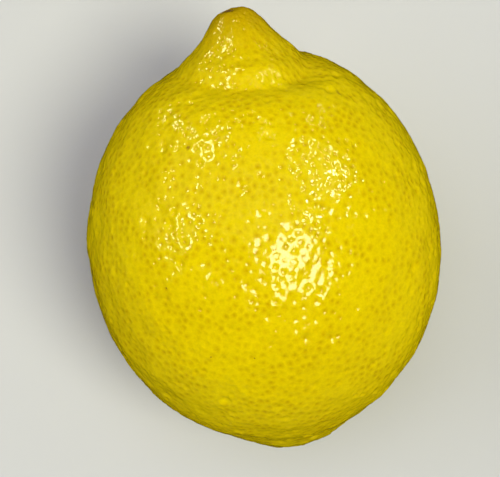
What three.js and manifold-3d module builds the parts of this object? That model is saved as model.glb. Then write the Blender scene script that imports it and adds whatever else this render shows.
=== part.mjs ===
// A whole lemon with a pointed blossom end, resting on its side.
//
// Frame: millimetres, +Z up. The origin is the centre of the small flat spot that the fruit rests
// on, +Y runs along the fruit towards the nipple at its blossom end, and +X is to its right.
//
// The skin is a half-ellipse profile turned about the fruit's own long axis. Each of its points is
// then moved by the named features below, so every bump and furrow has one formula and one size.

import * as THREE from 'three';
import { mergeVertices } from 'three/addons/utils/BufferGeometryUtils.js';
import Module from 'manifold-3d';

// ---- driving dimensions, millimetres and degrees ------------------------------------------------

// The plump body, measured on the fruit's own axis, without the bumps at its two ends.
const WIDTH = 63;
const THICKNESS = 61.6;
const BLOSSOM_LENGTH = 36.7; // belt to blossom end
const STEM_LENGTH = 35.8; // belt to stem end

// How it lies: the nipple end is higher than the stem end, and the spot it rests on is pressed flat.
const NIPPLE_RAISE = 15;
const FLAT_SPOT_DEPTH = 0.5;

// The nipple: a cone with a blunted tip on the blossom end, set a little to the left and upwards.
const NIPPLE = { x: -0.85, z: 1.2, height: 6.75, reach: 6.4, power: 2.55 };
const BLUNTING = { depth: 0.4, reach: 3.2, power: 2 };

// The furrow round the nipple, an upright oval that leans to the right as it rises. It is steep on
// the nipple's side and runs out gently on the shoulder's, and it is deepest above the nipple and
// shallowest below.
const FURROW = {
  x: -1.3,
  z: 2,
  radius: 11.55,
  stretch: 1.04,
  lean: 0.13,
  depth: 1.15,
  innerReach: 1.3,
  innerPower: 2,
  outerReach: 4.2,
  outerPower: 1.5,
  deepestAt: 75,
  bias: 0.8,
};

// A soft hollow in the furrow, above the nipple's right side.
const HOLLOW = { x: 9.3, z: 8.4, depth: 0.9, reach: 3.6, power: 2 };

// The small dry scar at the nipple's tip, where the flower's style broke off.
const STYLE_SCAR = { x: -2, z: 1.3, depth: 0.45, reach: 1.3, power: 2 };

// The stem end: a low collar with a dimple, creases that run out from it, and the dry stem button.
const COLLAR = { x: 2.85, z: 0, height: 3.05, reach: 9.75, power: 2.7 };
const DIMPLE = { depth: 1.8, reach: 3.6, power: 3 };
const CREASES = { count: 8, depth: 0.35, radius: 5, reach: 2.2, power: 2 };
const BUTTON = { height: 1.4, reach: 2.5, power: 5, lobes: 5, lobeSize: 0.12 };

// A slow swell round the girth and a slight S-bend along the length, which keep the body from being
// a perfect ellipsoid. The bend moves the blossom half to the left and the stem half to the right.
const SWELL = { lobes: 3, height: 0.42 };
const BEND = 0.14;

// Facets: their size at each end, how fast they grow away from it, and their size at the belt.
const SIDES = 72;
const STEM_FACET = 0.55;
const BLOSSOM_FACET = 0.9;
const FACET_GROWTH = 1.09;
const BELT_FACET = 2.7;

// The features of an end fade in from nothing at the belt to their full size at this share of the
// half length, and the rings slide towards the feature's middle with this power of that share.
const END_ZONE = 0.35;
const SLIDE_POWER = 4;

// Points closer than this are one point, and points this close to the floor lie on the flat spot.
const WELD = 1e-4;
const LEVEL = 1e-3;

const PEEL_COLOUR = 0xe3c80a;
const PEEL_ROUGHNESS = 0.35;

// ---- small helpers ------------------------------------------------------------------------------

const HALF_WIDTH = WIDTH / 2;
const degrees = THREE.MathUtils.degToRad;

// A smooth mound of height 1, which falls away past its reach: the higher the power, the flatter
// its top and the steeper its side.
const mound = (distance, reach, power) => Math.exp(-Math.pow(distance / reach, power));

// ---- the body's profile and turning ---------------------------------------------------------------

// Polar angles from one end of the fruit to the belt, close together at the end and wider after it.
function ringAngles(endFacet, halfLength) {
  const angles = [0];
  let facet = endFacet;
  let angle = facet / HALF_WIDTH;
  while (angle < Math.PI / 2 - facet / halfLength / 2) {
    angles.push(angle);
    facet = Math.min(facet * FACET_GROWTH, BELT_FACET);
    angle += facet / halfLength;
  }
  return angles;
}

// The half-ellipse outline from the stem end to the blossom end, both on the axis.
function bodyProfile() {
  const stemPoints = ringAngles(STEM_FACET, STEM_LENGTH).map(
    (angle) => new THREE.Vector2(HALF_WIDTH * Math.sin(angle), -STEM_LENGTH * Math.cos(angle)),
  );
  const blossomPoints = ringAngles(BLOSSOM_FACET, BLOSSOM_LENGTH).map(
    (angle) => new THREE.Vector2(HALF_WIDTH * Math.sin(angle), BLOSSOM_LENGTH * Math.cos(angle)),
  );
  const belt = new THREE.Vector2(HALF_WIDTH, 0);
  return [...stemPoints, belt, ...blossomPoints.reverse()];
}

// ---- features -------------------------------------------------------------------------------------

// Slides the profile's rings over the body so that they are centred on a feature of the end, fading
// out towards the belt. The body's shape stays the same.
function slideRings(point, halfLength, feature) {
  const fade = Math.pow(point.y / halfLength, SLIDE_POWER);
  const x = point.x + feature.x * fade;
  const z = point.z + feature.z * fade;
  const inside = 1 - (x * x) / (HALF_WIDTH * HALF_WIDTH) - (z * z) / (HALF_WIDTH * HALF_WIDTH);
  point.set(x, Math.sign(point.y) * halfLength * Math.sqrt(Math.max(inside, 0)), z);
}

// Widens or narrows the girth a little, in lobes round the axis, and bends the axis.
function addSwell(point, halfLength) {
  const round = Math.atan2(point.z, point.x);
  const girth = Math.hypot(point.x, point.z);
  const swell = SWELL.height * Math.sin(SWELL.lobes * round);
  const scale = 1 + (swell * girth) / (HALF_WIDTH * HALF_WIDTH);
  point.x = point.x * scale - BEND * Math.sin((Math.PI * point.y) / halfLength);
  point.z *= scale;
}

function nippleHeight(x, z) {
  const distance = Math.hypot(x - NIPPLE.x, z - NIPPLE.z);
  const cone = NIPPLE.height * mound(distance, NIPPLE.reach, NIPPLE.power);
  const blunting = BLUNTING.depth * mound(distance, BLUNTING.reach, BLUNTING.power);
  const fromScar = Math.hypot(x - STYLE_SCAR.x, z - STYLE_SCAR.z);
  const scar = STYLE_SCAR.depth * mound(fromScar, STYLE_SCAR.reach, STYLE_SCAR.power);
  return cone - blunting - scar;
}

function furrowDepth(x, z) {
  const dx = x - FURROW.x - FURROW.lean * z;
  const dz = (z - FURROW.z) / FURROW.stretch;
  const offLine = Math.hypot(dx, dz) - FURROW.radius;
  const reach = offLine > 0 ? FURROW.outerReach : FURROW.innerReach;
  const power = offLine > 0 ? FURROW.outerPower : FURROW.innerPower;
  const side = Math.cos(Math.atan2(dz, dx) - degrees(FURROW.deepestAt));
  const ring = FURROW.depth * (1 + FURROW.bias * side) * mound(Math.abs(offLine), reach, power);
  const fromHollow = Math.hypot(x - HOLLOW.x, z - HOLLOW.z);
  return ring + HOLLOW.depth * mound(fromHollow, HOLLOW.reach, HOLLOW.power);
}

function collarHeight(x, z) {
  const dx = x - COLLAR.x;
  const dz = z - COLLAR.z;
  const distance = Math.hypot(dx, dz);
  const round = Math.atan2(dz, dx);
  const collar = COLLAR.height * mound(distance, COLLAR.reach, COLLAR.power);
  const dimple = DIMPLE.depth * mound(distance, DIMPLE.reach, DIMPLE.power);
  const offRing = Math.abs(distance - CREASES.radius);
  const wave = 0.5 - 0.5 * Math.cos(CREASES.count * round);
  const crease = CREASES.depth * wave * mound(offRing, CREASES.reach, CREASES.power);
  const buttonReach = BUTTON.reach * (1 + BUTTON.lobeSize * Math.cos(BUTTON.lobes * round));
  const button = BUTTON.height * mound(distance, buttonReach, BUTTON.power);
  return collar - dimple - crease + button;
}

// Moves one point of the plain turned body to its place on the real skin.
function shapePoint(point) {
  const towardsBlossom = point.y > 0;
  const halfLength = towardsBlossom ? BLOSSOM_LENGTH : STEM_LENGTH;
  slideRings(point, halfLength, towardsBlossom ? NIPPLE : COLLAR);
  point.z *= THICKNESS / WIDTH;
  addSwell(point, halfLength);
  const zone = THREE.MathUtils.smoothstep(Math.abs(point.y) / halfLength, 0, END_ZONE);
  if (towardsBlossom) {
    point.y += zone * (nippleHeight(point.x, point.z) - furrowDepth(point.x, point.z));
  } else {
    point.y -= zone * collarHeight(point.x, point.z);
  }
}

// ---- building -------------------------------------------------------------------------------------

// A closed mesh with one vertex for each place, ready for a cut.
function closedMesh(geometry) {
  geometry.deleteAttribute('normal');
  geometry.deleteAttribute('uv');
  return mergeVertices(geometry, WELD);
}

function turnedSkin() {
  const geometry = closedMesh(new THREE.LatheGeometry(bodyProfile(), SIDES));
  const position = geometry.attributes.position;
  const point = new THREE.Vector3();
  for (let i = 0; i < position.count; i += 1) {
    point.fromBufferAttribute(position, i);
    shapePoint(point);
    position.setXYZ(i, point.x, point.y, point.z);
  }
  return geometry.rotateX(degrees(NIPPLE_RAISE));
}

function toSolid(wasm, geometry) {
  const mesh = new wasm.Mesh({
    numProp: 3,
    vertProperties: new Float32Array(geometry.attributes.position.array),
    triVerts: new Uint32Array(geometry.index.array),
  });
  return new wasm.Manifold(mesh);
}

function toGeometry(solid) {
  const mesh = solid.getMesh();
  const geometry = new THREE.BufferGeometry();
  geometry.setAttribute('position', new THREE.BufferAttribute(new Float32Array(mesh.vertProperties), 3));
  geometry.setIndex(new THREE.BufferAttribute(new Uint32Array(mesh.triVerts), 1));
  return geometry;
}

// Cuts the lowest part of the skin off level, and puts the middle of that cut at the origin.
function pressFlat(wasm, geometry) {
  geometry.computeBoundingBox();
  const level = geometry.boundingBox.min.z + FLAT_SPOT_DEPTH;
  const below = new THREE.BoxGeometry(WIDTH, WIDTH, THICKNESS).translate(0, 0, level - THICKNESS / 2);
  const pressed = toGeometry(toSolid(wasm, geometry).subtract(toSolid(wasm, closedMesh(below))));
  pressed.translate(0, 0, -level);
  const spot = flatSpotCentre(pressed);
  return pressed.translate(-spot.x, -spot.y, 0);
}

// The middle of the level cut's own bounding box.
function flatSpotCentre(geometry) {
  const spot = new THREE.Box3();
  const point = new THREE.Vector3();
  const position = geometry.attributes.position;
  for (let i = 0; i < position.count; i += 1) {
    point.fromBufferAttribute(position, i);
    if (Math.abs(point.z) < LEVEL) {
      spot.expandByPoint(point);
    }
  }
  return spot.getCenter(new THREE.Vector3());
}

const wasm = await Module();
wasm.setup();

const peel = new THREE.MeshStandardMaterial({
  color: PEEL_COLOUR,
  roughness: PEEL_ROUGHNESS,
  metalness: 0,
});

const lemon = new THREE.Mesh(pressFlat(wasm, turnedSkin()), peel);
lemon.name = 'lemon';

const fruit = new THREE.Group();
fruit.add(lemon);

export default fruit;
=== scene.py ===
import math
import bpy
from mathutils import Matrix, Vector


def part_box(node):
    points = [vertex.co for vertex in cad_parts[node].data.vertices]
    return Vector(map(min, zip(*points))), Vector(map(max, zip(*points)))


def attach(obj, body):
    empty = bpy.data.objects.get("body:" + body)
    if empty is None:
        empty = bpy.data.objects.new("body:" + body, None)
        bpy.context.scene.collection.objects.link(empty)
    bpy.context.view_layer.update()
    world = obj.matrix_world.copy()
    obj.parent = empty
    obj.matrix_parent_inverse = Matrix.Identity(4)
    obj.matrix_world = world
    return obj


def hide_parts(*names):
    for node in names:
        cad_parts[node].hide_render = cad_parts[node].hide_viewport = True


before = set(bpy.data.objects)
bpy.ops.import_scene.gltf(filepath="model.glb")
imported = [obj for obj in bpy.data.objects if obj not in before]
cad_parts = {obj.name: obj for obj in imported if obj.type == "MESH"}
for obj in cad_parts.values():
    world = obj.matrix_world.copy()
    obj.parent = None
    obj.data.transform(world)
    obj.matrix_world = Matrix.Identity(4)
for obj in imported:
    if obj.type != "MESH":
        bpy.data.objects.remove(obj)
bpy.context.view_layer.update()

# A whole ripe lemon lying on its side: waxy peel pitted by its oil glands, a nipple at the blossom
# end and a dry button at the stem end.
#
# The fruit's own frame is in millimetres, with +Y along its axis to the nipple, +X to its right and
# +Z up before it is tipped. It is built there, then tipped and scaled into the shared frame.

from types import SimpleNamespace as Named

import bpy
import numpy as np
from mathutils import Vector
from mathutils.geometry import delaunay_2d_cdt
from mathutils.kdtree import KDTree

# ---- the fruit's shape: the CAD model's driving dimensions, in millimetres ----------------------

WIDTH = 63
THICKNESS = 61.6
BLOSSOM_LENGTH = 36.7
STEM_LENGTH = 35.8
NIPPLE_RAISE = math.radians(15)
NIPPLE = Named(x=-0.85, z=1.2, height=6.75, reach=6.4, power=2.55)
BLUNTING = Named(depth=0.4, reach=3.2, power=2)
FURROW = Named(x=-1.3, z=2, radius=11.55, stretch=1.04, lean=0.13)
FURROW_DEPTH = Named(mean=1.15, deepest_at=75, bias=0.8)
FURROW_REACH = Named(inner=1.3, outer=4.2)
FURROW_POWER = Named(inner=2, outer=1.5)
HOLLOW = Named(x=9.3, z=8.4, depth=0.9, reach=3.6, power=2)
STYLE_SCAR = Named(x=-2, z=1.3, depth=0.45, reach=1.3, power=2)
COLLAR = Named(x=2.85, z=0, height=3.05, reach=9.75, power=2.7)
DIMPLE = Named(depth=1.8, reach=3.6, power=3)
CREASES = Named(count=8, depth=0.35, radius=5, reach=2.2, power=2)
SWELL = Named(lobes=3, height=0.42)
BEND = 0.14
END_ZONE = 0.35

MM = 0.001

# ---- the peel's fine relief, in millimetres -----------------------------------------------------

SEED = 23

# Places tried for a gland: all over the fruit, and more of them in a narrower spread of directions
# round the nipple.
TRIES = 70000
NIPPLE_TRIES = 9000
NIPPLE_TRY_SPREAD = 0.2

# The oil glands, from the few wide ones to the small ones that fill the gaps: their spacing and the
# standard deviation of their dips. The widths vary at random, within a number of their spreads.
GLANDS = [
    Named(spacing=3.0, width=0.52),
    Named(spacing=1.46, width=0.34),
    Named(spacing=1.06, width=0.26),
]
WIDTH_SPREAD = 0.12
MOST_SPREADS = 2

# How deep a dip is for its width, how much deeper it is on the upper side, and the low rim round
# it: its radius and width for the dip's own. A stain is the darker spot in a dip's middle. Each
# point of the peel feels only the few glands that are nearest to it.
GLAND_DEPTH_RATIO = 0.26
DEPTH_SPREAD = 0.45
UPPER_SIDE_EXCESS = 0.3
RIM = Named(height=0.2, radius=2.2, width=0.6)
STAIN = Named(faintest=0.25, width=0.28, patch_length=11, patch_spread=0.3, blossom_excess=0.2)
GLANDS_FELT = 4

# On the nipple they are smaller, closer and fainter, and inside the stem's dimple there are none:
# blanks keep the mesh even there.
NIPPLE_EDGE_POWER = 4
NIPPLE_CROWDING = 0.62
NIPPLE_FAINTNESS = 0.55
BUTTON_CLEARING = 4.2
BLANK_SPACING = 0.8
BLANK_WIDTH = 0.25

# Slow random relief, summed from waves of nearly the same length, and the fine folds that run round
# each end of the fruit.
UNDULATIONS = [
    Named(length=14, height=0.06),
    Named(length=6.5, height=0.06),
    Named(length=3.2, height=0.034),
]
WAVES_EACH = 28
WAVE_NUMBERS = Named(least=0.8, most=1.25)
SHOULDER_FOLDS = Named(length=1.9, height=0.06, radius=13.8, reach=3.6, faces=30, focus=2)
STEM_FOLDS = Named(length=1.5, height=0.045, radius=9.5, reach=4.5)
FOLDS_POWER = 2
FOLD_WANDER = Named(length=7, phase=2.2)

# The mesh: points round each gland's dip, directions that the smooth outline is measured with, the
# lowest direction of a point but for the very last, and when two flattened points are one.
RING_POINTS = 8
OUTLINE_POINTS = 20000
LOWEST_WAY = -0.99999
SAME_POINT = 1e-9

# For the skin's slope in a direction: a small step, and how near the X axis a direction may lie
# before the step is turned from the Y axis instead.
SLOPE_STEP = 1e-3
NEAR_X_AXIS = 0.6

# Small blemishes of the skin: their middles, how wide they are and how much they darken it.
BLEMISHES = [
    Named(x=-11.1, y=23.6, z=21.1, width=0.95, strength=0.85),
    Named(x=15.1, y=28.2, z=12.8, width=1.5, strength=0.55),
    Named(x=-17.0, y=1.6, z=26.4, width=0.4, strength=1),
    Named(x=-11.0, y=-10.8, z=27.7, width=0.4, strength=1),
    Named(x=-3.5, y=-11.3, z=29.2, width=0.35, strength=1),
]

# How far the tints of the two ends reach from their middles, and how sharply they end.
# The nipple's tint reaches out over the furrow round its base: there its darkening is painted
# shade.
NIPPLE_TINT_AND_FURROW_SHADE = Named(reach=13.5, power=4)
TIP_TINT = Named(reach=6.2, power=3)
STYLE_SCAR_TINT = Named(reach=0.95, power=2)
STEM_TINT = Named(reach=7.5, power=3)

# ---- the stem button, in millimetres ------------------------------------------------------------

CALYX = Named(radius=2.5, lobes=5, lobe_size=0.12, thickness=0.5, edge_power=8)
STUB = Named(radius=1.05, height=0.65, edge_power=6)

# The veins lie round a share of the calyx's radius. The groove round the stub and the hollow in its
# end are placed and sized by the stub's radius.
VEINS = Named(height=0.05, middle=0.7, reach=0.2, power=2)
GROOVE = Named(depth=0.18, middle=1.25, reach=0.25, power=2)
STUB_HOLLOW = Named(depth=0.3, reach=0.6, power=3)
BUTTON_LUMPS = [Named(length=1.1, height=0.05), Named(length=0.5, height=0.03)]

# The button's mesh. Its rings lie closer together towards the edge, and it sinks into the dimple.
BUTTON_SIDES = 110
BUTTON_RINGS = 30
RING_CROWDING = 1.5
BUTTON_SINK = 0.2


def mound(distance, reach, power):
    """A smooth mound of height 1 that falls away past its reach."""
    return np.exp(-((distance / reach) ** power))


def smoothstep(value):
    value = np.clip(value, 0, 1)
    return value * value * (3 - 2 * value)


def unit(vectors):
    return vectors / np.linalg.norm(vectors, axis=1)[:, None]


def sides(faces):
    return np.concatenate([faces[:, [0, 1]], faces[:, [1, 2]], faces[:, [2, 0]]])


def off_axis(points, middle):
    """How far points lie from a line through `middle` along the fruit."""
    return np.hypot(points[:, 0] - middle.x, points[:, 2] - middle.z)


def round_furrow(x, z):
    """Distance and direction from the middle of the leaning ring that the furrow follows."""
    dx = x - FURROW.x - FURROW.lean * z
    dz = (z - FURROW.z) / FURROW.stretch
    return np.hypot(dx, dz), np.arctan2(dz, dx)


def nipple_height(x, z):
    distance = np.hypot(x - NIPPLE.x, z - NIPPLE.z)
    cone = NIPPLE.height * mound(distance, NIPPLE.reach, NIPPLE.power)
    blunting = BLUNTING.depth * mound(distance, BLUNTING.reach, BLUNTING.power)
    from_scar = np.hypot(x - STYLE_SCAR.x, z - STYLE_SCAR.z)
    return cone - blunting - STYLE_SCAR.depth * mound(from_scar, STYLE_SCAR.reach, STYLE_SCAR.power)


def furrow_depth(x, z):
    distance, around = round_furrow(x, z)
    off_line = distance - FURROW.radius
    reach = np.where(off_line > 0, FURROW_REACH.outer, FURROW_REACH.inner)
    power = np.where(off_line > 0, FURROW_POWER.outer, FURROW_POWER.inner)
    side = np.cos(around - math.radians(FURROW_DEPTH.deepest_at))
    depth = FURROW_DEPTH.mean * (1 + FURROW_DEPTH.bias * side)
    ring = depth * mound(np.abs(off_line), reach, power)
    from_hollow = np.hypot(x - HOLLOW.x, z - HOLLOW.z)
    return ring + HOLLOW.depth * mound(from_hollow, HOLLOW.reach, HOLLOW.power)


def collar_height(x, z):
    dx = x - COLLAR.x
    dz = z - COLLAR.z
    distance = np.hypot(dx, dz)
    around = np.arctan2(dz, dx)
    collar = COLLAR.height * mound(distance, COLLAR.reach, COLLAR.power)
    dimple = DIMPLE.depth * mound(distance, DIMPLE.reach, DIMPLE.power)
    wave = 0.5 - 0.5 * np.cos(CREASES.count * around)
    off_line = np.abs(distance - CREASES.radius)
    crease = CREASES.depth * wave * mound(off_line, CREASES.reach, CREASES.power)
    return collar - dimple - crease


def skin(way):
    """The smooth skin's points in the directions `way`, unit vectors in the fruit's own frame."""
    half_length = np.where(way[:, 1] > 0, BLOSSOM_LENGTH, STEM_LENGTH)
    x = way[:, 0] * WIDTH / 2
    y = way[:, 1] * half_length
    z = way[:, 2] * THICKNESS / 2
    swell = SWELL.height * np.sin(SWELL.lobes * np.arctan2(z, x))
    scale = 1 + swell * np.hypot(x, z) / (WIDTH / 2) ** 2
    x = x * scale - BEND * np.sin(np.pi * y / half_length)
    z = z * scale
    zone = smoothstep(np.abs(y) / half_length / END_ZONE)
    blossom_end = nipple_height(x, z) - furrow_depth(x, z)
    y = y + zone * np.where(y > 0, blossom_end, -collar_height(x, z))
    return np.stack([x, y, z], axis=1)


# ---- scattering the oil glands ------------------------------------------------------------------


class Scatter:
    """Keeps points that are at least a given distance from all those kept before."""

    def __init__(self, cell):
        self.cell = cell
        self.kept = {}

    def offer(self, point, spacing):
        i, j, k = (math.floor(c / self.cell) for c in point)
        for di in (-1, 0, 1):
            for dj in (-1, 0, 1):
                for dk in (-1, 0, 1):
                    for other, other_spacing in self.kept.get((i + di, j + dj, k + dk), ()):
                        if math.dist(point, other) < min(spacing, other_spacing):
                            return False
        self.kept.setdefault((i, j, k), []).append((point, spacing))
        return True


def nippled(points):
    """How much each point of the skin belongs to the nipple, 0 to 1."""
    share = mound(off_axis(points, NIPPLE), NIPPLE.reach, NIPPLE_EDGE_POWER)
    return np.where(points[:, 1] > 0, share, 0)


def scatter_glands(rng):
    """The oil glands, and blanks inside the stem's dimple: directions, widths, depths and tints."""
    over_all = rng.normal(size=(TRIES, 3))
    over_nipple = rng.normal(size=(NIPPLE_TRIES, 3)) * NIPPLE_TRY_SPREAD + [0, 1, 0]
    ways = unit(np.concatenate([over_all, over_nipple]))
    points = skin(ways)
    bald = (points[:, 1] < 0) & (off_axis(points, COLLAR) < BUTTON_CLEARING)
    crowding = 1 - (1 - NIPPLE_CROWDING) * nippled(points)
    picked, widths = [], []
    scatter = Scatter(GLANDS[0].spacing)
    for kind in GLANDS:
        for i, point in enumerate(points.tolist()):
            if scatter.offer(point, BLANK_SPACING if bald[i] else kind.spacing * crowding[i]):
                picked.append(i)
                widths.append(BLANK_WIDTH if bald[i] else kind.width * crowding[i])
    count = len(picked)
    bald, crowding = bald[picked], crowding[picked]
    spreads = np.clip(rng.normal(size=count), -MOST_SPREADS, MOST_SPREADS)
    widths = np.array(widths) * np.exp(WIDTH_SPREAD * spreads)
    depths = widths * GLAND_DEPTH_RATIO * np.exp(DEPTH_SPREAD * rng.normal(size=count))
    depths *= 1 + UPPER_SIDE_EXCESS * ways[picked, 2]
    points = points[picked]
    patches = 1 + STAIN.patch_spread * ripple(points, STAIN.patch_length, rng)
    patches *= 1 + STAIN.blossom_excess * ways[picked, 1]
    faintness = NIPPLE_FAINTNESS * nippled(points)
    tints = rng.uniform(STAIN.faintest, 1, count) * patches * (1 - faintness)
    return ways[picked], widths, np.where(bald, 0, depths), np.clip(tints, 0, 1)


# ---- the peel's mesh ----------------------------------------------------------------------------


def triangles_round(ways):
    """Delaunay triangles over a whole sphere of directions, facing outwards: flattened from the
    lowest point, with a fan from a last vertex there."""
    flat = ways[:, :2] / (1 + ways[:, 2:3])
    faces = delaunay_2d_cdt([Vector(p) for p in flat.tolist()], [], [], 0, SAME_POINT)[2]
    faces = np.array(faces)
    paired = set(map(tuple, sides(faces).tolist()))
    rim = [(a, b) for a, b in paired if (b, a) not in paired]
    last = len(ways)
    fan = np.array([(b, a, last) for a, b in sorted(rim)])
    return np.concatenate([faces, fan])


def ring_round(ways, radius, count, turn):
    """Directions of `count` points at a true distance from each gland's middle along the skin."""
    helper = np.where(np.abs(ways[:, :1]) < NEAR_X_AXIS, [[1.0, 0, 0]], [[0, 1.0, 0]])
    e1 = unit(np.cross(ways, helper))
    e2 = np.cross(ways, e1)
    middle = skin(ways)
    along1 = (skin(unit(ways + SLOPE_STEP * e1)) - middle) / SLOPE_STEP
    along2 = (skin(unit(ways + SLOPE_STEP * e2)) - middle) / SLOPE_STEP
    gram = np.empty((len(ways), 2, 2))
    gram[:, 0, 0] = (along1 * along1).sum(1)
    gram[:, 0, 1] = gram[:, 1, 0] = (along1 * along2).sum(1)
    gram[:, 1, 1] = (along2 * along2).sum(1)
    values, vectors = np.linalg.eigh(gram)
    root = np.einsum("nij,nj,nkj->nik", vectors, 1 / np.sqrt(values), vectors)
    angles = turn[:, None] + np.arange(count) * 2 * np.pi / count
    circle = np.stack([np.cos(angles), np.sin(angles)], axis=2) * radius[:, None, None]
    shift = np.einsum("nij,nkj->nki", root, circle)
    points = ways[:, None] + shift[..., :1] * e1[:, None] + shift[..., 1:] * e2[:, None]
    return unit(points.reshape(-1, 3))


def vertex_normals(points, faces):
    corners = points[faces]
    face_normals = np.cross(corners[:, 1] - corners[:, 0], corners[:, 2] - corners[:, 0])
    normals = np.zeros_like(points)
    for corner in range(3):
        np.add.at(normals, faces[:, corner], face_normals)
    return unit(normals)


def ripple(points, length, rng):
    """A smooth random field of about unit size: many waves of like length in random directions."""
    waves = unit(rng.normal(size=(WAVES_EACH, 3))) * 2 * np.pi / length
    waves *= rng.uniform(WAVE_NUMBERS.least, WAVE_NUMBERS.most, size=(WAVES_EACH, 1))
    phases = rng.uniform(0, 2 * np.pi, WAVES_EACH)
    return np.sin(points @ waves.T + phases).sum(1) * math.sqrt(2 / WAVES_EACH)


def fold_waves(folds, distance, wander):
    waves = np.sin(2 * np.pi * distance / folds.length + wander)
    off_line = np.abs(distance - folds.radius)
    return folds.height * waves * mound(off_line, folds.reach, FOLDS_POWER)


def end_folds(points, rng):
    """Fine folds round both ends: waves in the distance from each end's middle, bent at random."""
    wander = FOLD_WANDER.phase * ripple(points, FOLD_WANDER.length, rng)
    patches = smoothstep(0.5 + 0.5 * ripple(points, FOLD_WANDER.length, rng))
    distance, around = round_furrow(points[:, 0], points[:, 2])
    facing = 0.5 + 0.5 * np.cos(around - math.radians(SHOULDER_FOLDS.faces))
    shoulder = fold_waves(SHOULDER_FOLDS, distance, wander) * facing**SHOULDER_FOLDS.focus
    stem = fold_waves(STEM_FOLDS, off_axis(points, COLLAR), wander)
    return patches * np.where(points[:, 1] > 0, shoulder, stem)


def gland_relief(points, middles, widths, depths, tints):
    """How deep each point lies in the glands nearest to it, and how strongly one stains it."""
    tree = KDTree(len(middles))
    for i, middle in enumerate(middles.tolist()):
        tree.insert(middle, i)
    tree.balance()
    depth = np.zeros(len(points))
    tint = np.zeros(len(points))
    for i, point in enumerate(points.tolist()):
        for _, gland, distance in tree.find_n(point, GLANDS_FELT):
            if depths[gland]:
                away = distance / widths[gland]
                dip = math.exp(-0.5 * away**2)
                rim = RIM.height * math.exp(-0.5 * ((away - RIM.radius) / RIM.width) ** 2)
                depth[i] += depths[gland] * (dip - rim)
                stained = math.exp(-0.5 * (distance / STAIN.width) ** 2)
                tint[i] = max(tint[i], stained * tints[gland])
    return depth, tint


def tip_fruit(points):
    """From the fruit's own frame to the shared frame's directions."""
    cos, sin = math.cos(NIPPLE_RAISE), math.sin(NIPPLE_RAISE)
    x, y, z = points.T
    return np.stack([x, y * cos - z * sin, y * sin + z * cos], axis=1)


def even_ways(count):
    """Directions spread evenly over a sphere, along a spiral."""
    z = 1 - (2 * np.arange(count) + 1) / count
    turn = np.arange(count) * math.pi * (3 - math.sqrt(5))
    girth = np.sqrt(1 - z * z)
    return np.stack([girth * np.cos(turn), girth * np.sin(turn), z], axis=1)


def into_frame(points):
    """Tips points of the fruit, and moves them by what puts its smooth skin in the CAD's box."""
    low, high = (np.array(corner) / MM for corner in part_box("lemon"))
    outline = tip_fruit(skin(even_ways(OUTLINE_POINTS)))
    shift = np.array(
        [
            (low[0] + high[0]) / 2 - (outline[:, 0].min() + outline[:, 0].max()) / 2,
            high[1] - outline[:, 1].max(),
            high[2] - outline[:, 2].max(),
        ]
    )
    return tip_fruit(points) + shift


def make_mesh(name, points, faces, layers):
    mesh = bpy.data.meshes.new(name)
    mesh.from_pydata((points * MM).tolist(), [], faces.tolist())
    mesh.shade_smooth()
    for layer, values in layers.items():
        attribute = mesh.attributes.new(layer, "FLOAT", "POINT")
        attribute.data.foreach_set("value", values.astype(np.float32))
    piece = bpy.data.objects.new(name, mesh)
    bpy.context.scene.collection.objects.link(piece)
    return piece


def tint_share(points, middle, tint):
    return mound(off_axis(points, middle), tint.reach, tint.power)


def make_peel(rng):
    ways, widths, depths, tints = scatter_glands(rng)
    count = len(ways)
    first = triangles_round(ways)
    first = first[(first < count).all(1)]
    between = unit(ways[first].sum(1))
    edges = np.unique(np.sort(sides(first)), axis=0)
    ridges = unit(ways[edges[:, 0]] + ways[edges[:, 1]])
    rings = ring_round(ways, widths, RING_POINTS, rng.uniform(0, 2 * np.pi, count))
    all_ways = np.concatenate([ways, rings, between, ridges])
    all_ways = all_ways[all_ways[:, 2] > LOWEST_WAY]
    faces = triangles_round(all_ways)
    all_ways = np.concatenate([all_ways, [[0, 0, -1.0]]])
    smooth = skin(all_ways)
    normals = vertex_normals(smooth, faces)
    depth, tint = gland_relief(smooth, skin(ways), widths, depths, tints)
    relief = sum(u.height * ripple(smooth, u.length, rng) for u in UNDULATIONS)
    relief += end_folds(smooth, rng) - depth
    placed = into_frame(smooth + normals * relief[:, None])

    # The flat spot that the fruit rests on.
    placed[:, 2] = np.maximum(placed[:, 2], 0)

    on_blossom = smooth[:, 1] > 0
    layers = {
        "gland": tint,
        # The nipple's layer spreads over the furrow round its base, so its tint darkens the furrow
        # as painted shade.
        "nipple": np.where(on_blossom, tint_share(smooth, NIPPLE, NIPPLE_TINT_AND_FURROW_SHADE), 0),
        "nipple_tip": np.where(on_blossom, tint_share(smooth, NIPPLE, TIP_TINT), 0),
        "style_scar": np.where(on_blossom, tint_share(smooth, STYLE_SCAR, STYLE_SCAR_TINT), 0),
        "stem_end": np.where(on_blossom, 0, tint_share(smooth, COLLAR, STEM_TINT)),
    }
    marked = []
    for blemish in BLEMISHES:
        away = np.linalg.norm(smooth - [blemish.x, blemish.y, blemish.z], axis=1)
        marked.append(placed[np.argmin(away)] * MM)
    print("peel:", count, "glands,", len(placed), "vertices,", len(faces), "triangles")
    return make_mesh("lemon_peel", placed, faces, layers), marked


# ---- the stem button ----------------------------------------------------------------------------


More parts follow.
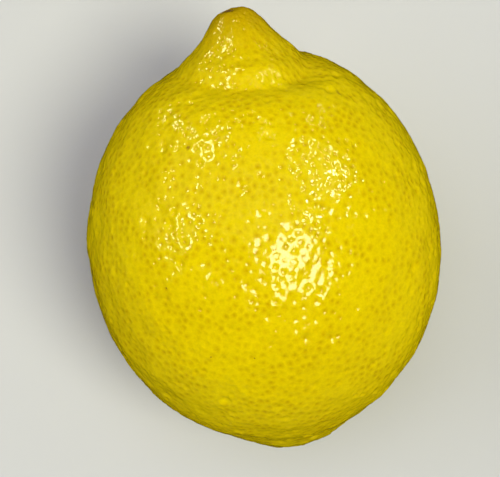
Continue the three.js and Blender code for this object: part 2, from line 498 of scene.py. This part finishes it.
def button_height(share, radius, around):
    """The dry calyx and the stub of the broken stem in its middle, from the dimple's bottom."""
    seat = DIMPLE.depth * (1 - mound(radius, DIMPLE.reach, DIMPLE.power))
    calyx = CALYX.thickness * np.sqrt(1 - share**CALYX.edge_power)
    veins = VEINS.height * np.cos(2 * CALYX.lobes * around)
    veins *= mound(np.abs(share - VEINS.middle), VEINS.reach, VEINS.power)
    off_groove = np.abs(radius - STUB.radius * GROOVE.middle)
    groove = GROOVE.depth * mound(off_groove, STUB.radius * GROOVE.reach, GROOVE.power)
    stub = STUB.height * mound(radius, STUB.radius, STUB.edge_power)
    stub -= STUB_HOLLOW.depth * mound(radius, STUB.radius * STUB_HOLLOW.reach, STUB_HOLLOW.power)
    return seat + calyx + veins - groove + stub


def make_button(rng):
    around = np.arange(BUTTON_SIDES) * 2 * np.pi / BUTTON_SIDES
    shares = 1 - (1 - np.arange(1, BUTTON_RINGS + 1) / BUTTON_RINGS) ** RING_CROWDING
    share, turn = (grid.ravel() for grid in np.meshgrid(shares, around, indexing="ij"))
    share = np.concatenate([[0], share, [0]])
    turn = np.concatenate([[0], turn, [0]])
    radius = share * CALYX.radius * (1 + CALYX.lobe_size * np.cos(CALYX.lobes * turn))
    x, z = radius * np.cos(turn), radius * np.sin(turn)
    out = button_height(share, radius, turn)
    plain = np.stack([x, out, z], axis=1)
    lumps = sum(lump.height * ripple(plain, lump.length, rng) for lump in BUTTON_LUMPS)
    out += lumps * (1 - share**CALYX.edge_power)
    out[-1 - BUTTON_SIDES : -1] -= BUTTON_SINK
    out[-1] = -BUTTON_SINK
    middle_x, middle_z = COLLAR.x / WIDTH * 2, COLLAR.z / THICKNESS * 2
    middle_y = -math.sqrt(1 - middle_x**2 - middle_z**2)
    middle = skin(np.array([[middle_x, middle_y, middle_z]]))[0]
    points = middle + np.stack([x, -out, z], axis=1)
    faces = []
    last = len(points) - 1
    outer = 1 + (BUTTON_RINGS - 1) * BUTTON_SIDES
    for side in range(BUTTON_SIDES):
        after = (side + 1) % BUTTON_SIDES
        faces.append((0, 1 + side, 1 + after))
        for ring in range(BUTTON_RINGS - 1):
            a = 1 + ring * BUTTON_SIDES + side
            b = 1 + ring * BUTTON_SIDES + after
            faces.append((a, a + BUTTON_SIDES, b + BUTTON_SIDES))
            faces.append((a, b + BUTTON_SIDES, b))
        faces.append((outer + side, last, outer + after))
    layers = {"from_middle": radius}
    return make_mesh("stem_button", into_frame(points), np.array(faces), layers)


# ---- materials ----------------------------------------------------------------------------------

# Sockets of a Mix node, which has a pair of them for each kind of value.
MIX_FACTOR = 0
MIX_NUMBERS = (2, 3)
MIX_COLOURS = (6, 7)
MIX_COLOUR_RESULT = 2


class Nodes:
    """A material's node tree, written as nested calls."""

    def __init__(self, name):
        self.material = bpy.data.materials.new(name)
        self.material.use_nodes = True
        self.tree = self.material.node_tree
        self.tree.nodes.clear()
        output = self.tree.nodes.new("ShaderNodeOutputMaterial")
        self.shader = self.tree.nodes.new("ShaderNodeBsdfPrincipled")
        self.tree.links.new(self.shader.outputs["BSDF"], output.inputs["Surface"])

    def add(self, kind, inputs=None, **settings):
        node = self.tree.nodes.new("ShaderNode" + kind)
        for key, value in settings.items():
            setattr(node, key, value)
        for key, value in (inputs or {}).items():
            self.plug(node.inputs[key], value)
        return node

    def plug(self, socket, value):
        if isinstance(value, bpy.types.NodeSocket):
            self.tree.links.new(value, socket)
        else:
            socket.default_value = value

    def mix(self, factor, first, second):
        node = self.add("Mix", {MIX_FACTOR: factor}, data_type="RGBA")
        for socket, shade in zip(MIX_COLOURS, (first, second)):
            self.plug(node.inputs[socket], shade)
        return node.outputs[MIX_COLOUR_RESULT]

    def layer(self, name):
        return self.add("Attribute", attribute_name=name).outputs["Fac"]

    def math(self, operation, first, second):
        return self.add("Math", {0: first, 1: second}, operation=operation).outputs[0]

    def times(self, first, second):
        return self.math("MULTIPLY", first, second)

    def tinted(self, shade, level):
        """A colour made darker or lighter by a level near 1."""
        return self.add("VectorMath", {0: shade, "Scale": level}, operation="SCALE").outputs[0]

    def distance(self, first, second):
        node = self.add("VectorMath", {0: first, 1: second}, operation="DISTANCE")
        return node.outputs["Value"]

    def ramp(self, value, low=0.0, high=1.0, to_low=0.0, to_high=1.0):
        inputs = {0: value, 1: low, 2: high, 3: to_low, 4: to_high}
        return self.add("MapRange", inputs, clamp=True).outputs[0]

    def noise(self, place, pattern):
        inputs = {"Vector": place, "Scale": pattern.scale, "Detail": pattern.detail}
        return self.add("TexNoise", {**inputs, "Roughness": pattern.roughness}).outputs[0]

    def mottle(self, place, pattern, to_low=0.0, to_high=1.0):
        """Noise whose middle values are stretched over the wanted range."""
        noise = self.noise(place, pattern)
        return self.ramp(noise, pattern.low, pattern.high, to_low, to_high)

    def bump(self, place, pattern, strength, distance, under=None):
        inputs = {"Height": self.noise(place, pattern), "Strength": strength, "Distance": distance}
        if under is not None:
            inputs["Normal"] = under
        return self.add("Bump", inputs).outputs[0]


def colour(red, green, blue):
    return (red, green, blue, 1)


def make_pattern(scale, detail=3, roughness=0.5, low=0.3, high=0.7):
    """Noise of `scale` cells to the metre, and the values of it that count as least and most."""
    return Named(scale=scale, detail=detail, roughness=roughness, low=low, high=high)


YELLOW = colour(0.795, 0.62, 0.001)
DEEP_YELLOW = colour(0.745, 0.56, 0.001)
GLAND_YELLOW = colour(0.57, 0.36, 0.001)
# The nipple's own darker tone; where the nipple's tint spreads into the furrow it is painted shade.
MUSTARD_AND_FURROW_SHADE = colour(0.46, 0.285, 0.001)
STEM_GREEN = colour(0.56, 0.53, 0.010)
SCAR_BROWN = colour(0.15, 0.05, 0.008)
BLEMISH_TAN = colour(0.30, 0.15, 0.012)

# How much of each tint the peel takes, and how much its brightness varies from place to place.
PATCHES = make_pattern(scale=60, low=0.35, high=0.65)
TINT_SHARES = Named(patches=0.5, nipple=0.15, nipple_tip=0.85, stem_end=0.6, gland=0.95)
SPECKLES = make_pattern(scale=2400)
SPECKLE_LEVELS = Named(darkest=0.94, lightest=1.06)

# The blemishes' edges are ragged: noise scales the distance from their middles. The scar's edge
# lies where its layer and some noise add up to these values.
RAGGEDNESS = make_pattern(scale=1500)
BLEMISH_EDGE = Named(least=0.6, most=1.6, hardness=1.5)
SCAR_EDGE = Named(spread=0.3, low=0.45, high=0.6)

# The wax is a little glossier in the glands' dips and dull on the scar. Its finest relief is bump,
# and its distances here are in metres.
WAX = make_pattern(scale=700, detail=2)
WAX_ROUGHNESS = Named(least=0.09, most=0.15, in_gland=-0.06, on_scar=0.5)
WAX_IOR = 1.5
RIPPLES = make_pattern(scale=1100, detail=0)
RIPPLES_BUMP = Named(strength=0.22, distance=0.0001)
GRAIN = make_pattern(scale=2100, detail=0)
GRAIN_BUMP = Named(strength=0.4, nipple_strength=0.6, distance=0.00006)
PITH_GLOW = Named(weight=0.06, radius=(1.0, 0.7, 0.1), scale=0.0008)

CALYX_OLIVE = colour(0.155, 0.145, 0.055)
CALYX_BROWN = colour(0.100, 0.062, 0.028)
STUB_TAN = colour(0.36, 0.27, 0.14)
PITH_DARK = colour(0.09, 0.055, 0.03)
BLOTCHES = make_pattern(scale=700, detail=4, roughness=0.6, low=0.4, high=0.6)
DRY_ROUGHNESS = Named(olive=0.65, brown=0.85)
DRY_SPECKLES = make_pattern(scale=2600, roughness=0.7, low=0.35, high=0.65)
DRY_SPECKLE_LEVELS = Named(darkest=0.7, lightest=1.25)
PITH_EDGE = Named(inner=0.2, outer=0.6)
STUB_EDGE = Named(inner=0.95, outer=1.2)
DRY_GRAIN = make_pattern(scale=2200, detail=4, roughness=0.65)
DRY_BUMP = Named(strength=0.8, distance=0.00012)


def peel_material(marked):
    """The waxy yellow peel, with blemishes at the `marked` places in the shared frame."""
    n = Nodes("waxy_peel")
    place = n.add("TexCoord").outputs["Object"]
    gland = n.layer("gland")
    tints = [
        (n.mottle(place, PATCHES), TINT_SHARES.patches, DEEP_YELLOW),
        # The nipple's dark tint darkens the nipple itself and, as painted shade, the furrow round
        # its base.
        (n.layer("nipple"), TINT_SHARES.nipple, MUSTARD_AND_FURROW_SHADE),
        (n.layer("nipple_tip"), TINT_SHARES.nipple_tip, MUSTARD_AND_FURROW_SHADE),
        (n.layer("stem_end"), TINT_SHARES.stem_end, STEM_GREEN),
        (gland, TINT_SHARES.gland, GLAND_YELLOW),
    ]
    shade = YELLOW
    for amount, share, tint in tints:
        shade = n.mix(n.times(amount, share), shade, tint)
    levels = n.mottle(place, SPECKLES, SPECKLE_LEVELS.darkest, SPECKLE_LEVELS.lightest)
    shade = n.tinted(shade, levels)

    raggedness = n.mottle(place, RAGGEDNESS)
    stretch = n.ramp(raggedness, to_low=BLEMISH_EDGE.least, to_high=BLEMISH_EDGE.most)
    for middle, blemish in zip(marked, BLEMISHES):
        away = n.times(n.distance(place, tuple(middle)), stretch)
        peak = BLEMISH_EDGE.hardness * blemish.strength
        spot = n.ramp(away, high=blemish.width / 2 * MM, to_low=peak, to_high=0)
        shade = n.mix(n.math("MINIMUM", spot, blemish.strength), shade, BLEMISH_TAN)
    wavering = n.ramp(raggedness, to_low=-SCAR_EDGE.spread, to_high=SCAR_EDGE.spread)
    ragged = n.math("ADD", n.layer("style_scar"), wavering)
    scar = n.ramp(ragged, SCAR_EDGE.low, SCAR_EDGE.high)
    n.plug(n.shader.inputs["Base Color"], n.mix(scar, shade, SCAR_BROWN))

    wax = n.mottle(place, WAX, WAX_ROUGHNESS.least, WAX_ROUGHNESS.most)
    change = n.math(
        "ADD", n.times(gland, WAX_ROUGHNESS.in_gland), n.times(scar, WAX_ROUGHNESS.on_scar)
    )
    n.plug(n.shader.inputs["Roughness"], n.math("ADD", wax, change))
    ripples = n.bump(place, RIPPLES, RIPPLES_BUMP.strength, RIPPLES_BUMP.distance)
    coarseness = n.ramp(
        n.layer("nipple"), to_low=GRAIN_BUMP.strength, to_high=GRAIN_BUMP.nipple_strength
    )
    relief = n.bump(place, GRAIN, coarseness, GRAIN_BUMP.distance, under=ripples)
    n.plug(n.shader.inputs["Normal"], relief)
    n.shader.inputs["IOR"].default_value = WAX_IOR
    n.shader.inputs["Subsurface Weight"].default_value = PITH_GLOW.weight
    n.shader.inputs["Subsurface Radius"].default_value = PITH_GLOW.radius
    n.shader.inputs["Subsurface Scale"].default_value = PITH_GLOW.scale
    return n.material


def button_material():
    """Dry and woody: an olive and brown calyx, and a paler stub with a dark pith."""
    n = Nodes("dry_calyx")
    place = n.add("TexCoord").outputs["Object"]
    radius = n.layer("from_middle")
    blotches = n.mottle(place, BLOTCHES)
    calyx = n.mix(blotches, CALYX_OLIVE, CALYX_BROWN)
    stub = n.mix(n.ramp(radius, PITH_EDGE.inner, PITH_EDGE.outer), PITH_DARK, STUB_TAN)
    past_stub = n.ramp(radius, STUB.radius * STUB_EDGE.inner, STUB.radius * STUB_EDGE.outer)
    shade = n.mix(past_stub, stub, calyx)
    levels = n.mottle(place, DRY_SPECKLES, DRY_SPECKLE_LEVELS.darkest, DRY_SPECKLE_LEVELS.lightest)
    n.plug(n.shader.inputs["Base Color"], n.tinted(shade, levels))
    roughness = n.ramp(blotches, to_low=DRY_ROUGHNESS.olive, to_high=DRY_ROUGHNESS.brown)
    n.plug(n.shader.inputs["Roughness"], roughness)
    relief = n.bump(place, DRY_GRAIN, DRY_BUMP.strength, DRY_BUMP.distance)
    n.plug(n.shader.inputs["Normal"], relief)
    return n.material


# ---- stage --------------------------------------------------------------------------------------

# In metres. The camera looks straight down and sees a view of this width at the fruit's middle.
MIDDLE = Vector((0, 0, 0.031))
CAMERA_HEIGHT = 0.250
CAMERA_PLACE = Vector((-0.00256, 0.00374, MIDDLE.z + CAMERA_HEIGHT))
CAMERA_ROLL = math.radians(6.1)
CAMERA_NEAR = 0.01
VIEW_WIDTH = 0.09076
SENSOR = 36
FLOOR_SIZE = 60
FLOOR_GREY = colour(0.56, 0.57, 0.64)
FLOOR_ROUGHNESS = 0.9
WORLD_LIGHT = 0.05
BACKDROP = 0.5

# The lights hang this far from the fruit. Azimuths are clockwise from +Y, seen from above.
LIGHT_DISTANCE = 3
WHITE = (1, 1, 1)
CREAM = (1, 0.98, 0.7)
PALE_YELLOW = (1, 0.98, 0.55)
FILLS = [
    Named(name="window_fill", azimuth=-66, elevation=36, spread=60, radiance=0.31, tint=WHITE),
    Named(name="front_fill", azimuth=20, elevation=60, spread=50, radiance=0.08, tint=WHITE),
    Named(name="top_fill", azimuth=0, elevation=80, spread=40, radiance=0.23, tint=WHITE),
    Named(name="ceiling_fill", azimuth=117, elevation=66, spread=27, radiance=0.73, tint=CREAM),
]
CEILING_PANELS = [
    Named(name="ceiling_core", azimuth=141, elevation=67, size=(0.95, 1.20), radiance=12),
    Named(name="ceiling_glow", azimuth=141, elevation=67, size=(1.30, 1.60), radiance=6),
]
SIDE_PANELS = [
    Named(name="left_near", azimuth=-87, elevation=43, size=(0.54, 0.44), radiance=22),
    Named(name="left_middle", azimuth=-34, elevation=37, size=(0.58, 0.46), radiance=22),
    Named(name="left_far", azimuth=-12, elevation=28, size=(0.22, 0.36), radiance=20),
    Named(name="left_low", azimuth=-37, elevation=4, size=(0.22, 0.30), radiance=24),
    Named(name="right_near", azimuth=70, elevation=51, size=(0.44, 0.38), radiance=38),
    Named(name="right_middle", azimuth=62, elevation=32, size=(0.32, 0.26), radiance=36),
    Named(name="right_upper", azimuth=42, elevation=43, size=(0.32, 0.26), radiance=32),
    Named(name="right_far", azimuth=32, elevation=10, size=(0.20, 0.16), radiance=14),
]


def make_floor():
    bpy.ops.mesh.primitive_plane_add(size=FLOOR_SIZE)
    floor = bpy.context.object
    floor.name = "floor"
    n = Nodes("pale_floor")
    n.plug(n.shader.inputs["Base Color"], FLOOR_GREY)
    n.plug(n.shader.inputs["Roughness"], FLOOR_ROUGHNESS)
    floor.data.materials.append(n.material)
    floor.visible_glossy = False


def make_camera():
    data = bpy.data.cameras.new("camera")
    data.sensor_width = SENSOR
    data.lens = SENSOR * CAMERA_HEIGHT / VIEW_WIDTH
    data.clip_start = CAMERA_NEAR
    camera = bpy.data.objects.new("camera", data)
    camera.location = CAMERA_PLACE
    camera.rotation_euler = (0, 0, -CAMERA_ROLL)
    bpy.context.scene.collection.objects.link(camera)
    bpy.context.scene.camera = camera


def hang(light, data):
    """Hangs a light's data in its place and aims it at the fruit."""
    lamp = bpy.data.objects.new(light.name, data)
    azimuth, elevation = math.radians(light.azimuth), math.radians(light.elevation)
    level = math.cos(elevation)
    way = Vector((math.sin(azimuth) * level, math.cos(azimuth) * level, math.sin(elevation)))
    lamp.location = MIDDLE + way * LIGHT_DISTANCE
    lamp.rotation_euler = way.to_track_quat("Z", "Y").to_euler()
    lamp.visible_camera = False
    bpy.context.scene.collection.objects.link(lamp)
    return lamp


def make_fill(fill):
    """Broad, even light from one side, which the wax doesn't mirror."""
    data = bpy.data.lights.new(fill.name, "SUN")
    data.angle = math.radians(fill.spread)
    data.color = fill.tint
    data.energy = fill.radiance * math.pi
    hang(fill, data).visible_glossy = False


def make_panel(panel, tint):
    """A soft oval panel that only the wax mirrors: it lights nothing else."""
    width, height = panel.size
    data = bpy.data.lights.new(panel.name, "AREA")
    data.shape = "ELLIPSE"
    data.size, data.size_y = width, height
    data.color = tint
    data.energy = panel.radiance * math.pi * math.pi / 4 * width * height
    hang(panel, data).visible_diffuse = False


def make_world():
    """Faint light from all round; what the camera sees behind the floor is as pale as the floor."""
    world = bpy.data.worlds.new("studio")
    world.use_nodes = True
    nodes, links = world.node_tree.nodes, world.node_tree.links
    ray = nodes.new("ShaderNodeLightPath")
    level = nodes.new("ShaderNodeMix")
    for socket, strength in zip(MIX_NUMBERS, (WORLD_LIGHT, BACKDROP)):
        level.inputs[socket].default_value = strength
    links.new(ray.outputs["Is Camera Ray"], level.inputs[MIX_FACTOR])
    links.new(level.outputs[0], nodes["Background"].inputs["Strength"])
    nodes["Background"].inputs["Color"].default_value = colour(*WHITE)
    world.cycles_visibility.glossy = False
    bpy.context.scene.world = world


make_camera()
make_floor()
make_world()
for fill in FILLS:
    make_fill(fill)
for panel in CEILING_PANELS:
    make_panel(panel, CREAM)
for panel in SIDE_PANELS:
    make_panel(panel, PALE_YELLOW)
bpy.context.scene.view_settings.view_transform = "Standard"

# ---- the fruit ----------------------------------------------------------------------------------

rng = np.random.default_rng(SEED)
peel, marked = make_peel(rng)
peel.data.materials.append(peel_material(marked))
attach(peel, "root")
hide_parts("lemon")

button = make_button(rng)
button.data.materials.append(button_material())
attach(button, "root")
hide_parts("lemon")
